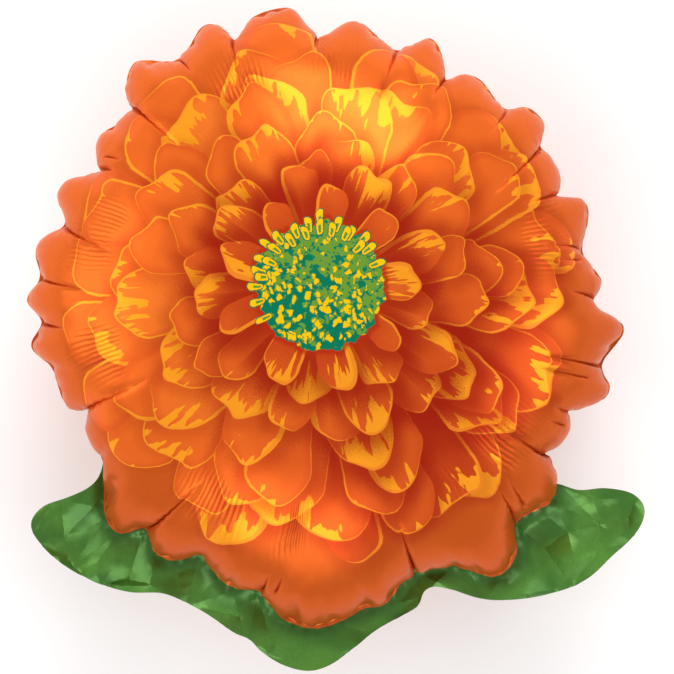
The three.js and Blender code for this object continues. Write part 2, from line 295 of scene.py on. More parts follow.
# The flat cut of both films: flower, seal line and leaves, drawn larger by what the gas draws in
class Cut:
    def __init__(self):
        rng = np.random.default_rng(3)
        self.outline = smooth_line([from_polar(*p) for p in FLOWER_OUTLINE], True, 1.0)
        flower = even_steps(closed(moved_out(self.outline, DRAW_IN)), EDGE_STEP)[:-1]
        seal = moved_out(flower, -SEAL_WIDTH)
        leaf = even_steps(moved_out(smooth_line(LEAF_OUTLINE, False, 1.0), DRAW_IN), EDGE_STEP)
        first, last = (int(np.argmin(np.linalg.norm(flower - leaf[end], axis=1))) for end in (0, -1))
        rim = leaf[1:-1]
        ring = np.vstack([flower[first], rim, flower[last:first - 1:-1]])
        self.tail = moved_out(np.array(TAIL), DRAW_IN)
        valve_top = seal[:, 1].min() + VALVE_REACH
        half = VALVE_WIDTH / 2
        valve = []
        for x in (self.tail[0] - half, self.tail[0] + half):
            low = rim[np.argmin(np.abs(rim[:, 0] - x) + (rim[:, 1] > 0) * 1e3), 1]
            valve.append(even_steps(np.array([(x, valve_top), (x, low + 1)]), SPACING))
        top = even_steps(np.array([valve[0][0], valve[1][0]]), SPACING)[1:-1]
        self.creases = notch_creases(rng)
        self.facets = leaf_facets(np.random.default_rng(11))
        folds = self.fold_lines(ring)
        mouth = np.vstack([valve[0][:1], top, valve[1][:1]])
        lines = [closed(flower), closed(seal), rim, *valve, mouth, *folds]
        grid = self.hexagon_grid(np.vstack([flower, rim]), rng)
        near = np.min([distance_to(grid, line) for line in lines], axis=0)
        grid = grid[(near > SPACING * 0.6) & (inside(grid, flower) | inside(grid, ring))]
        self.triangulate(flower, seal, rim, first, last, valve, top, folds, grid)

        middle = self.flat[self.triangles].mean(axis=1)
        kept = inside(middle, flower) | inside(middle, ring)
        self.triangles = self.triangles[kept & (np.abs(self.doubled_area()) > ON_LINE)]
        turned = self.doubled_area() < 0
        self.triangles[turned] = self.triangles[turned][:, ::-1]
        used, compact = np.unique(self.triangles, return_inverse=True)
        self.flat = self.flat[used]
        self.triangles = compact.reshape(-1, 3)

        middle = self.flat[self.triangles].mean(axis=1)
        side = np.where(inside(self.flat, flower), -1, 1)
        self.beyond = distance_to(self.flat, closed(flower)) * side
        self.beyond[np.abs(self.beyond) < ON_LINE] = 0
        self.on_seal_line = distance_to(self.flat, closed(seal)) < ON_LINE
        self.free = inside(self.flat, seal) & ~self.on_seal_line
        self.dome = inside(middle, seal)
        self.valve = (np.abs(middle[:, 0] - self.tail[0]) < half) & (middle[:, 1] < valve_top)
        self.plan = moved_out(self.flat, -DRAW_IN)

    def fold_lines(self, ring):
        """Lines that the mesh follows: three side by side for each crease, and one between two facets."""
        folds = []
        for start, end, _ in self.creases:
            aside = (end - start)[::-1] * (-0.65, 0.65) * SPACING / math.dist(start, end)
            folds += [np.array([start + k * aside, end + k * aside]) for k in (-1, 0, 1)]
        corners, _, _, lines = self.facets
        for pair in lines:
            line = even_steps(corners[pair], SPACING * 0.5)
            within = inside(line, ring) & (distance_to(line, ring) > SPACING * 0.4)
            if within.any():
                folds.append(line[within][[0, -1]])
        return [even_steps(line, EDGE_STEP) for line in folds]

    def hexagon_grid(self, around, rng):
        low, high = around.min(0), around.max(0)
        rows = np.arange(low[1], high[1], SPACING * math.sqrt(0.75))
        grid = []
        for number, y in enumerate(rows):
            x = np.arange(low[0] + number % 2 * SPACING / 2, high[0], SPACING)
            grid.append(np.c_[x, np.full(len(x), y)])
        grid = np.vstack(grid)
        return grid + rng.uniform(-0.12, 0.12, grid.shape) * SPACING

    def triangulate(self, flower, seal, rim, first, last, valve, top, folds, grid):
        points = []
        edges = []

        def chain(line, before=(), after=(), loop=False):
            ids = [*before, *range(len(points), len(points) + len(line)), *after]
            points.extend(line)
            edges.extend(zip(ids, ids[1:]))
            if loop:
                edges.append((ids[-1], ids[0]))
            return ids

        chain(flower, loop=True)
        chain(seal, loop=True)
        chain(rim, before=[first], after=[last])
        left, right = chain(valve[0]), chain(valve[1])
        chain(top, before=left[:1], after=right[:1])
        for fold in folds:
            chain(fold)
        points.extend(grid)
        result = delaunay_2d_cdt([Vector(p) for p in points], edges, [], 0, SAME_POINT)
        self.flat = np.array([p[:] for p in result[0]])
        self.triangles = np.array(result[2])

    def doubled_area(self):
        a, b, c = (self.flat[self.triangles[:, k]] for k in range(3))
        return np.cross(b - a, c - a)

    def off_tab(self, points):
        """0 on the flat tab round the valve's mouth, 1 well away from it."""
        return smoothstep(np.linalg.norm(points - self.tail, axis=1), TAB_RADIUS, 2 * TAB_RADIUS)


# The filled shape: two domes of film that doesn't stretch, with lobes that fade out inwards
def dome_profile(steps=400):
    """Way from the rim, radius and height along a dome, each as a share of the whole."""
    w = (np.arange(steps) + 0.5) / steps
    radius = 1 - w ** 2
    part = 1 / np.sqrt((1 + radius) * (1 + radius ** 2))
    way = np.r_[0, np.cumsum(part)]
    height = np.r_[0, np.cumsum(part * radius ** 2)]
    return way / way[-1], 1 - (np.arange(steps + 1) / steps) ** 2, height / height[-1]


def seam_height(cut):
    """How far the sealed sheet waves up and down."""
    angle = np.arctan2(cut.flat[:, 1], cut.flat[:, 0])
    height = SEAL_WAVE * np.sin(SEAL_WAVES * angle) * np.cos(SEAL_SWELLS * angle + 1)
    rise = LEAF_WAVE * smoothstep(cut.beyond, 0, LEAF_WAVE_GROWTH)
    for x, y in LEAF_CRINKLES:
        height += rise * np.sin(2 * math.pi * (cut.flat[:, 0] / x + cut.flat[:, 1] / y))
    return height * cut.off_tab(cut.flat)


def filled_shape(cut):
    """Front and back places of the flat cut's points, and how far out from the middle each lies."""
    turn = np.arctan2(cut.outline[:, 1], cut.outline[:, 0])
    order = np.argsort(turn)
    reach = np.linalg.norm(cut.outline, axis=1)[order]
    turns = np.radians(np.arange(-180, 180, 0.5))
    radius = np.interp(turns, turn[order], reach, period=2 * math.pi)
    weight = np.exp(-0.5 * (np.arange(-60, 61) / 28) ** 2)
    calm = np.convolve(np.r_[radius[-60:], radius, radius[:60]], weight / weight.sum(), "valid")

    here = np.arctan2(cut.flat[:, 1], cut.flat[:, 0])
    outer = np.interp(here, turn[order], reach, period=2 * math.pi)
    inner = np.interp(here, turns, calm, period=2 * math.pi)
    length = np.linalg.norm(cut.flat, axis=1)
    share = np.clip(length / (outer - SEAL_WIDTH + DRAW_IN), 0, 1)
    way, rim, rise = dome_profile()
    lobed = inner + (outer - inner) * smoothstep(share, 0.72, 1) - SEAL_WIDTH
    radius = np.interp(1 - share, way, rim) * lobed
    drawn_in = cut.flat * (radius / np.maximum(length, 1e-9))[:, None]
    plan = np.where(cut.free[:, None], drawn_in, cut.plan)
    height = np.where(cut.free, np.interp(1 - share, way, rise) * DOME_RISE, 0)
    seam = seam_height(cut) * share ** 6
    return np.c_[plan, seam + height], np.c_[plan, seam - height], share


# Filling: points joined by lengths of film, pushed out by the gas
def hinges_of(triangles):
    """Pairs of points that face each other across an edge."""
    facing = {}
    pairs = []
    for a, b, c in triangles.tolist():
        for i, j, far in ((a, b, c), (b, c, a), (c, a, b)):
            edge = (min(i, j), max(i, j))
            if edge in facing:
                pairs.append((facing.pop(edge), far))
            else:
                facing[edge] = far
    return np.array(pairs)


def grouped(pairs, lengths, pull, push, count):
    """The pairs in groups in which no point comes twice, so that each group can move at once."""
    taken = [0] * count
    group = np.zeros(len(pairs), int)
    for i, (a, b) in enumerate(pairs.tolist()):
        free = 0
        while (taken[a] | taken[b]) >> free & 1:
            free += 1
        taken[a] |= 1 << free
        taken[b] |= 1 << free
        group[i] = free
    parts = [group == g for g in range(group.max() + 1)]
    return [(pairs[p, 0], pairs[p, 1], lengths[p], pull[p], push[p]) for p in parts]


def fill(cut):
    """Front and back places after the gas has pushed the films out and the spare film has puckered."""
    rng = np.random.default_rng(1)
    count = len(cut.flat)
    free = np.nonzero(cut.free)[0]
    fixed = np.nonzero(~cut.free)[0]
    back_of = np.arange(count)
    back_of[free] = count + np.arange(len(free))
    total = count + len(free)
    front, back, share = filled_shape(cut)

    def both(values):
        joined = np.zeros((total, *values.shape[1:]))
        joined[back_of] = values
        joined[:count] = values
        return joined

    start = both(back)
    start[:count] = front
    flat = both(cut.flat)
    front_dome = cut.triangles[cut.dome]
    back_dome = back_of[front_dome][:, ::-1]
    sealed = cut.triangles[~cut.dome]
    domes = np.vstack([front_dome, back_dome])

    # Spare film runs round the rim, most of it near the seal
    edges = edges_of(np.vstack([domes, sealed]))
    ends = flat[edges]
    along = ends[:, 1] - ends[:, 0]
    middle = ends.mean(axis=1)
    round_rim = np.cross(along, middle) ** 2 / ((along ** 2).sum(1) * (middle ** 2).sum(1))
    outside = np.maximum(both(cut.beyond)[edges].mean(axis=1), 0)
    spare = np.where(
        outside > 0,
        SPARE_LEAF * (1 - 0.9 * smoothstep(outside, 0, LEAF_WAVE_GROWTH)),
        SPARE_FILM * smoothstep(both(share)[edges].mean(axis=1), 0.6, 1),
    )
    lengths = np.linalg.norm(start[edges[:, 0]] - start[edges[:, 1]], axis=1) * (1 + spare * round_rim)
    is_fixed = np.zeros(total, bool)
    is_fixed[fixed] = True
    push = np.where(is_fixed[edges].all(axis=1), PUSH_LEAF, PUSH_DOME)
    film = grouped(edges, lengths, np.ones(len(edges)), push, total)
    hinges = [hinges_of(front_dome), hinges_of(back_dome), hinges_of(sealed)]
    stiff = np.repeat((STIFF_DOME, STIFF_DOME, STIFF_LEAF), [len(h) for h in hinges])
    hinges = np.vstack(hinges)
    lengths = np.linalg.norm(start[hinges[:, 0]] - start[hinges[:, 1]], axis=1)
    folds = grouped(hinges, lengths, stiff, stiff, total)

    # It starts a little uneven, the leaves with waves of many lengths and directions
    place = start.copy()
    place[:, 2] += rng.normal(0, START_UNEVEN, total)
    waves = np.zeros(count)
    for _ in range(START_WAVES):
        turn = rng.uniform(0, 2 * math.pi)
        along = cut.flat @ (math.cos(turn), math.sin(turn))
        wave = along / rng.uniform(*START_WAVE_LENGTH) + rng.uniform()
        waves += np.sin(2 * math.pi * wave) / math.sqrt(START_WAVES / 2)
    place[:count, 2] += START_WAVE * waves * smoothstep(cut.beyond, 0, START_WAVE_GROWTH)

    # Gas pushes the domes' triangles out, and rounds of small moves bring each length of film back
    share_of_mass = np.bincount(np.vstack([domes, sealed]).ravel(), minlength=total) * SPACING ** 2 / 7
    seam = start[fixed, 2]
    pinned = cut.on_seal_line | (np.abs(cut.beyond) < ON_LINE)
    hold = np.where(pinned[fixed], HOLD_SEAL, HOLD_LEAF)[:, None]
    tab = fixed[np.linalg.norm(cut.flat[fixed] - cut.tail, axis=1) < TAB_RADIUS]
    speed = np.zeros_like(place)
    for _ in range(STEPS):
        a, b, c = (place[domes[:, k]] for k in range(3))
        gas = np.cross(b - a, c - a) / 6
        gas = [np.bincount(domes.ravel(), np.repeat(gas[:, k], 3), total) for k in range(3)]
        speed = (speed + PRESSURE * np.stack(gas, axis=1) / share_of_mass[:, None]) * DAMPING
        new = place + speed
        for _ in range(ROUNDS):
            for a, b, length, pull, push in [*film, *folds]:
                gap = new[b] - new[a]
                now = np.linalg.norm(gap, axis=1)
                strength = np.where(now > length, pull, push)
                move = gap * (strength * (now - length) / now / 2)[:, None]
                new[a] += move
                new[b] -= move
            new[fixed, :2] += hold * (cut.plan[fixed] - new[fixed, :2])
            new[fixed, 2] += HOLD_HEIGHT * (seam - new[fixed, 2])
            new[tab, 2] = 0
            new[count:, 2] = np.maximum(new[count:, 2], REST_FLAT - DOME_RISE)
        speed = new - place
        place = new
    return place[:count], place[back_of]


# Finer surface, creases and the closed films
def subdivided(triangles, held_line, smooth, plain):
    """One smoothing subdivision, by Loop's weights.

    Points on held_line move only along it; plain values are just halved.
    """
    facing = np.r_[triangles[:, 2], triangles[:, 0], triangles[:, 1]]
    edges, which, faces = np.unique(
        np.sort(sides_of(triangles), axis=1), axis=0, return_inverse=True, return_counts=True,
    )
    which = which.ravel()
    a, b = edges.T
    far = np.zeros((len(edges), smooth.shape[1]))
    np.add.at(far, which, smooth[facing])
    sharp = (faces == 1) | (held_line[a] & held_line[b])
    ends = smooth[a] + smooth[b]
    middle = np.where(sharp[:, None], ends / 2, ends * 3 / 8 + far / 8)

    def neighbours(chosen):
        total = np.zeros_like(smooth)
        np.add.at(total, a[chosen], smooth[b[chosen]])
        np.add.at(total, b[chosen], smooth[a[chosen]])
        return total, np.bincount(np.r_[a[chosen], b[chosen]], minlength=len(smooth))[:, None]

    around, degree = neighbours(np.ones(len(edges), bool))
    beside, sharp_degree = neighbours(sharp)
    weight = np.where(degree == 3, 3 / 16, 3 / 8 / np.maximum(degree, 1))
    free = (1 - degree * weight) * smooth + weight * around
    still_or_free = np.where(sharp_degree > 0, smooth, free)
    moved = np.where(sharp_degree == 2, 0.75 * smooth + beside / 8, still_or_free)
    middles = len(smooth) + which.reshape(3, -1).T
    ab, bc, ca = middles.T
    one, two, three = triangles.T
    finer = np.vstack([np.c_[one, ab, ca], np.c_[ab, two, bc], np.c_[ca, bc, three], middles])
    return finer, np.vstack([moved, middle]), np.vstack([plain, (plain[a] + plain[b]) / 2])


def normals_of(points, triangles):
    a, b, c = (points[triangles[:, k]] for k in range(3))
    facing = np.cross(b - a, c - a)
    total = np.zeros_like(points)
    for k in range(3):
        np.add.at(total, triangles[:, k], facing)
    return total / np.maximum(np.linalg.norm(total, axis=1, keepdims=True), 1e-12)


def closed_film(name, sheet, triangles, offset, thickness):
    """A mesh object: the sheet moved out by offset, a second face further out by thickness, and a rim."""
    normals = normals_of(sheet, triangles)
    lower = sheet + normals * np.broadcast_to(offset, len(sheet))[:, None]
    upper = lower + normals * thickness
    pairs = sides_of(triangles)
    _, first, faces = np.unique(np.sort(pairs, axis=1), axis=0, return_index=True, return_counts=True)
    a, b = pairs[first[faces == 1]].T
    count = len(sheet)
    rim = np.vstack([np.c_[b, a, a + count], np.c_[b, a + count, b + count]])
    faces = np.vstack([triangles, triangles[:, ::-1] + count, rim])
    used, faces = np.unique(faces, return_inverse=True)
    points = (np.vstack([upper, lower])[used] + FLOWER_CENTRE) / 1000
    faces = faces.reshape(-1, 3)
    mesh = bpy.data.meshes.new(name)
    mesh.vertices.add(len(points))
    mesh.vertices.foreach_set("co", points.ravel())
    mesh.loops.add(faces.size)
    mesh.loops.foreach_set("vertex_index", faces.ravel())
    mesh.polygons.add(len(faces))
    mesh.polygons.foreach_set("loop_start", np.arange(0, faces.size, 3))
    smooth = np.ones(len(faces), bool)
    smooth[-len(rim):] = False
    mesh.polygons.foreach_set("use_smooth", smooth)
    mesh.update(calc_edges=True)
    mesh.validate()
    thing = bpy.data.objects.new(name, mesh)
    bpy.context.scene.collection.objects.link(thing)
    return thing, used % count


def crease_marks(flat, creases):
    """How deep each point of the cut lies in a crease, how much painted shade darkens it there, and which lie
    on a crease's line.
    """
    depth = np.zeros(len(flat))
    crease_painted_shade = np.zeros(len(flat))
    on_line = np.zeros(len(flat), bool)
    for start, end, deep in creases:
        along = end - start
        share = np.clip((flat - start) @ along / (along @ along), 0, 1)
        gap = np.linalg.norm(flat - start - share[:, None] * along, axis=1)
        fade = smoothstep(share, 0, 0.1) * (1 - share ** 2)
        valley = np.maximum(1 - gap / CREASE_WIDTH, 0) * fade
        bank = CREASE_BANK * fade * np.exp(-(((gap - CREASE_BANK_OUT) / CREASE_BANK_WIDTH) ** 2))
        depth += deep * (valley - bank)
        crease_painted_shade = np.maximum(crease_painted_shade, valley * deep / CREASE_DEPTH[1])
        on_line |= (gap < 0.1) & (fade > 0)
    return depth, crease_painted_shade, on_line


def facet_heights(flat, found):
    """How high each point of the cut lies on the leaves' facets, and which lie on a line between two."""
    corners, facets, heights, _ = found
    height = np.zeros(len(flat))
    on_line = np.zeros(len(flat), bool)
    for facet in facets:
        a, b, c = corners[facet]
        u, v = np.linalg.inv(np.c_[b - a, c - a]) @ (flat - a).T
        shares = np.c_[1 - u - v, u, v]
        here = (u >= -1e-6) & (v >= -1e-6) & (u + v <= 1 + 1e-6)
        height[here] = (shares @ heights[facet])[here]
        on_line |= here & (shares.min(axis=1) < 0.005)
    return height, on_line


cut = Cut()
front, back = fill(cut)

# The filling lifts the front dome too high, so it is brought back to its height
front[:, 2] *= 1 - (1 - DOME_RISE / front[:, 2].max()) * smoothstep(front[:, 2], 20, 140)
places = np.c_[front, back]
flat = np.c_[cut.flat, cut.beyond, cut.on_seal_line, cut.free]
triangles, places, flat = subdivided(cut.triangles, cut.on_seal_line, places, flat)
in_valve = np.tile(cut.valve, 4)
flat, beyond, free = flat[:, :2], flat[:, 2], flat[:, 4]
front, back = places[:, :3], places[:, 3:]

# Sharp valleys along the creases, and leaves crumpled into facets
# crease_marks also gives the painted shade that darkens each crease
depth, crease_painted_shade, on_crease = crease_marks(flat, cut.creases)
crumple, on_facet_line = facet_heights(flat, cut.facets)
crumple *= smoothstep(beyond, 0, 14) * cut.off_tab(flat)
on_line = on_crease | (on_facet_line & (beyond > 3))
front = front - normals_of(front, triangles) * (depth * free)[:, None]
back = back - normals_of(back, triangles[:, ::-1]) * (depth * free)[:, None]
front[:, 2] += crumple
back[:, 2] += crumple
back[:, 2] = np.maximum(back[:, 2], REST_FLAT - DOME_RISE)

# The films stand apart by the gap, and by the valve as well where it runs between them
beside_valve = smoothstep(np.abs(flat[:, 0] - cut.tail[0]), VALVE_WIDTH / 2 + 4, VALVE_WIDTH / 2 + 14)
bottom = cut.flat[:, 1].min()
above_valve = smoothstep(flat[:, 1], bottom + VALVE_REACH, bottom + 2 * VALVE_REACH)
offset = GAP / 2 + (1 - beside_valve) * (1 - above_valve) * 2 * PLY


def keep_cut(thing, which):
    """Gives points their place on the print and the painted shade of their crease, and marks sharp edges and
    the leaves' faces.

    A place is x and y on the print and how far beyond the flower's edge it lies, in metres.
    """
    values = np.c_[(flat - PRINT_CENTRE) * PRINT_SCALE, beyond][which] / 1000
    layer = thing.data.attributes.new("cut", "FLOAT_VECTOR", "POINT")
    layer.data.foreach_set("vector", values.ravel())
    # The fold attribute carries the painted shade that darkens the creases
    layer = thing.data.attributes.new("fold", "FLOAT", "POINT")
    layer.data.foreach_set("value", crease_painted_shade[which])
    ends = np.empty(len(thing.data.edges) * 2, int)
    thing.data.edges.foreach_get("vertices", ends)
    layer = thing.data.attributes.new("sharp_edge", "BOOLEAN", "EDGE")
    layer.data.foreach_set("value", on_line[which[ends.reshape(-1, 2)]].all(axis=1))
    corners = np.empty(len(thing.data.loops), int)
    thing.data.loops.foreach_get("vertex_index", corners)
    on_leaf = (beyond[which][corners.reshape(-1, 3)] > -0.01).all(axis=1)
    thing.data.polygons.foreach_set("material_index", on_leaf.astype(int))


films = {}
for name, slot, sheet, faces in (
    ("front_film", "front_print", front, triangles),
    ("back_film", "back_print", back, triangles[:, ::-1]),
):
    film, which = closed_film("foil_" + name, sheet, faces, offset, FILM)
    keep_cut(film, which)
    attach(film, "root")
    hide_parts(name)
    films[name] = film
plies = []
for name, faces in (
    ("valve_front_ply", triangles[in_valve]),
    ("valve_back_ply", triangles[in_valve][:, ::-1]),
):
    ply, _ = closed_film("film_" + name, back, faces, HALF_PLY_GAP, PLY)
    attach(ply, "root")
    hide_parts(name)
    plies.append(ply)


# Print and foil, from sums over the flat cut
class Field:
    """A number that differs over a surface. A sum with it adds a node to its tree."""

    def __init__(self, tree, socket):
        self.tree = tree
        self.socket = socket

    def math(self, operation, *others):
        return math_node(self.tree, operation, self, *others)

    def __add__(self, other):
        return self.math("ADD", other)

    __radd__ = __add__

    def __sub__(self, other):
        return self.math("SUBTRACT", other)

    def __rsub__(self, other):
        return math_node(self.tree, "SUBTRACT", other, self)

    def __mul__(self, other):
        return self.math("MULTIPLY", other)

    __rmul__ = __mul__

    def __truediv__(self, other):
        return self.math("DIVIDE", other)

    def rising(self, low, high):
        """0 below low, 1 above high and smooth between; low above high turns it round."""
        node = self.tree.nodes.new("ShaderNodeMapRange")
        node.interpolation_type = "SMOOTHSTEP"
        for slot, value in zip(node.inputs, (self, low, high)):
            plug(self.tree, slot, value)
        return Field(self.tree, node.outputs[0])


def plug(tree, slot, value):
    if isinstance(value, Field):
        tree.links.new(value.socket, slot)
    else:
        slot.default_value = value


def math_node(tree, operation, *values):
    node = tree.nodes.new("ShaderNodeMath")
    node.operation = operation
    for slot, value in zip(node.inputs, values):
        plug(tree, slot, value)
    return Field(tree, node.outputs[0])


def vector(tree, x, y, z=0.0):
    node = tree.nodes.new("ShaderNodeCombineXYZ")
    for slot, value in zip(node.inputs, (x, y, z)):
        plug(tree, slot, value)
    return Field(tree, node.outputs[0])


def blend(share, colour_a, colour_b):
    """colour_a where share is 0, colour_b where it is 1."""
    node = share.tree.nodes.new("ShaderNodeMix")
    node.data_type = "RGBA"
    plug(share.tree, node.inputs[0], share)
    plug(share.tree, node.inputs[6], colour_a)
    plug(share.tree, node.inputs[7], colour_b)
    return Field(share.tree, node.outputs[2])


def noise(place, scale, detail):
    node = place.tree.nodes.new("ShaderNodeTexNoise")
    plug(place.tree, node.inputs["Vector"], place)
    node.inputs["Scale"].default_value = scale
    node.inputs["Detail"].default_value = detail
    return Field(place.tree, node.outputs[0])


def parts_of(value, kind):
    """The three parts of a place (kind XYZ) or of a colour (kind Color)."""
    node = value.tree.nodes.new("ShaderNodeSeparate" + kind)
    plug(value.tree, node.inputs[0], value)
    return [Field(value.tree, output) for output in node.outputs]


def three_numbers(place):
    """Three random numbers from 0 to 1, the same all over a cell."""
    node = place.tree.nodes.new("ShaderNodeTexWhiteNoise")
    node.noise_dimensions = "3D"
    plug(place.tree, node.inputs["Vector"], place)
    return parts_of(Field(place.tree, node.outputs["Color"]), "Color")


def attribute(tree, name, output):
    node = tree.nodes.new("ShaderNodeAttribute")
    node.attribute_name = name
    return Field(tree, node.outputs[output])


def new_material(name):
    material = bpy.data.materials.new(name)
    material.use_nodes = True
    return material, material.node_tree, material.node_tree.nodes["Principled BSDF"]


def tint(code):
    """A printer's colour code as the red, green, blue and cover that Blender takes."""
    parts = [int(code[k:k + 2], 16) / 255 for k in (1, 3, 5)]
    return (*(p / 12.92 if p <= 0.04045 else ((p + 0.055) / 1.055) ** 2.4 for p in parts), 1.0)


# Inks of the petals, of the flower's middle, of the foil round them, and of the leaves, with colours for
# painted shade and a painted sheen
PETAL, PETAL_DUSK = tint("#E56622"), tint("#D6581F")
PETAL_FOOT = tint("#B02E13")
PETAL_LIT = tint("#F37E2B")
PETAL_SHADE = tint("#C9451B")
STROKE = tint("#F79A22")
RIM, RIM_DUSK = tint("#F39425"), tint("#EC8125")
SHADOW = tint("#9E1D0E")
TEAL, TEAL_MOTTLE = tint("#00785A"), tint("#057A5C")
LEAFY = tint("#6C9A36")
SPECK = tint("#FCC60A")
FLORET, FLORET_EYE, FLORET_EDGE = tint("#FCC70C"), tint("#5C9238"), tint("#0A6E50")
MIDDLE_SHADOW = tint("#B52A12")
GROUND, GROUND_DUSK = tint("#D2501C"), tint("#A32410")
# Plain foil of the lobes, and its painted shade towards the bottom right
LOBE, LOBE_PAINTED_SHADE = tint("#D8601F"), tint("#C5541B")
# Colour of the painted sheen on the flat heat seal
SEAL_PAINTED_SHEEN = tint("#F9A766")
# Colour of the painted shade in the creases
CREASE_PAINTED_SHADE = tint("#6A2810")
LEAF_DARK, LEAF_PALE, LEAF_MOTTLE = tint("#40732A"), tint("#5B9236"), tint("#3D6826")
# Colour of the painted shadow on the leaves beside the flower
LEAF_SHADOW = tint("#2C5420")

# A printed edge is soft by this much on both sides
BLUR = 0.5


def group_with(name, inputs, colours):
    """A node group and its inputs as fields, by name."""
    tree = bpy.data.node_groups.new(name, "ShaderNodeTree")
    for label in inputs:
        kind = "NodeSocketColor" if label in colours else "NodeSocketFloat"
        tree.interface.new_socket(label, in_out="INPUT", socket_type=kind)
    tree.interface.new_socket("Colour", in_out="OUTPUT", socket_type="NodeSocketColor")
    source = tree.nodes.new("NodeGroupInput")
    return tree, {label: Field(tree, source.outputs[label]) for label in inputs}


def petal_ring():
    """Paints a ring of petals over a colour. Lengths are in mm on the flat cut."""
    inputs = (
        "Below", "Radius", "Turn", "Wobble", "Stroke", "Grain", "Dusk",
        "Count", "Tip", "Half", "Seed", "Gloom",
    )
    tree, given = group_with("petal_ring", inputs, ("Below",))
    radius, wobble, stroke = (given[k] for k in ("Radius", "Wobble", "Stroke"))
    dusk, gloom = given["Dusk"], given["Gloom"]
    speckle = given["Grain"] - 0.5

    # By chance each petal is turned, longer or shorter, and wider or slimmer
    cells = given["Turn"] * given["Count"] + given["Seed"]
    cell = cells.math("FLOOR")
    number = cell.math("FLOORED_MODULO", given["Count"])
    first, second, third = three_numbers(vector(tree, number, given["Seed"] * 7.3))
    lean = (first - 0.5) * 0.13
    angle = (cells - cell - 0.5 + lean) * (2 * math.pi) / given["Count"]
    tip = given["Tip"] * (0.91 + 0.15 * second)
    half = given["Half"] * (0.78 + 0.3 * third - 0.12 * dusk)
    along = angle.math("COSINE") * radius
    across = angle.math("SINE") * radius + (tip - along) * (second - 0.5) * 0.22

    # Way out from the petal's edge: sides that draw together towards the foot, and a round end
    round_end = 0.9 + 0.35 * first
    shoulder = tip - half * round_end
    past = (along - shoulder).math("MAXIMUM", 0.0) / round_end
    neck = (shoulder - along).math("MAXIMUM", 0.0) * 0.1
    edge = (across * across + past * past).math("SQRT") - half + neck + (wobble - 0.5) * 5.0
    on_petal = edge.rising(BLUR, -BLUR)

    # Darker towards the foot, lit in patches, and darker again inside the edge on one side
    to_tip = tip - along
    to_side = across / half * (first * 2.0 - 1.0)
    foot = to_tip / (given["Tip"] * 0.5) + speckle * 0.7 + dusk * (0.5 + 0.5 * first)
    colour = blend(dusk, PETAL, PETAL_DUSK)
    colour = blend(foot.rising(0.5, 1.6) * (0.4 + 0.5 * dusk), colour, PETAL_FOOT)
    lit = third * 0.9 + wobble * 0.8 - 0.9 - dusk * 0.5 + speckle * 0.4
    colour = blend(lit.rising(0.0, 0.4) * 0.6, colour, PETAL_LIT)
    inner_shade = (edge + 9.0 + speckle * 10.0 - to_side * 5.0).rising(0.0, 9.0)
    colour = blend(inner_shade * 0.4, colour, PETAL_SHADE)

    # Brush strokes that start at the tip, and a rim that is wider on one side
    feather = stroke * 1.8 + third * 0.7 - to_tip / 80.0 + to_side * 0.5 - 1.27
    colour = blend(feather.rising(0.0, 0.04), colour, STROKE)
    streaks = 8.0 * (stroke - 0.55).math("MAXIMUM", 0.0)
    rim = 0.9 + 1.1 * third + to_side * (1.0 + 4.0 * stroke) + streaks
    colour = blend((edge + rim).rising(-BLUR, BLUR), colour, blend(dusk, RIM, RIM_DUSK))

    # The shadow that the petal casts round it
    reach = 8.0 + 14.0 * gloom + 8.0 * dusk
    cast = (edge / reach + speckle * 0.7).rising(1.0, 0.1) * gloom
    below = blend(cast * (0.35 + 0.6 * dusk), given["Below"], SHADOW)
    output = tree.nodes.new("NodeGroupOutput")
    plug(tree, output.inputs[0], blend(on_petal, below, colour))
    return tree


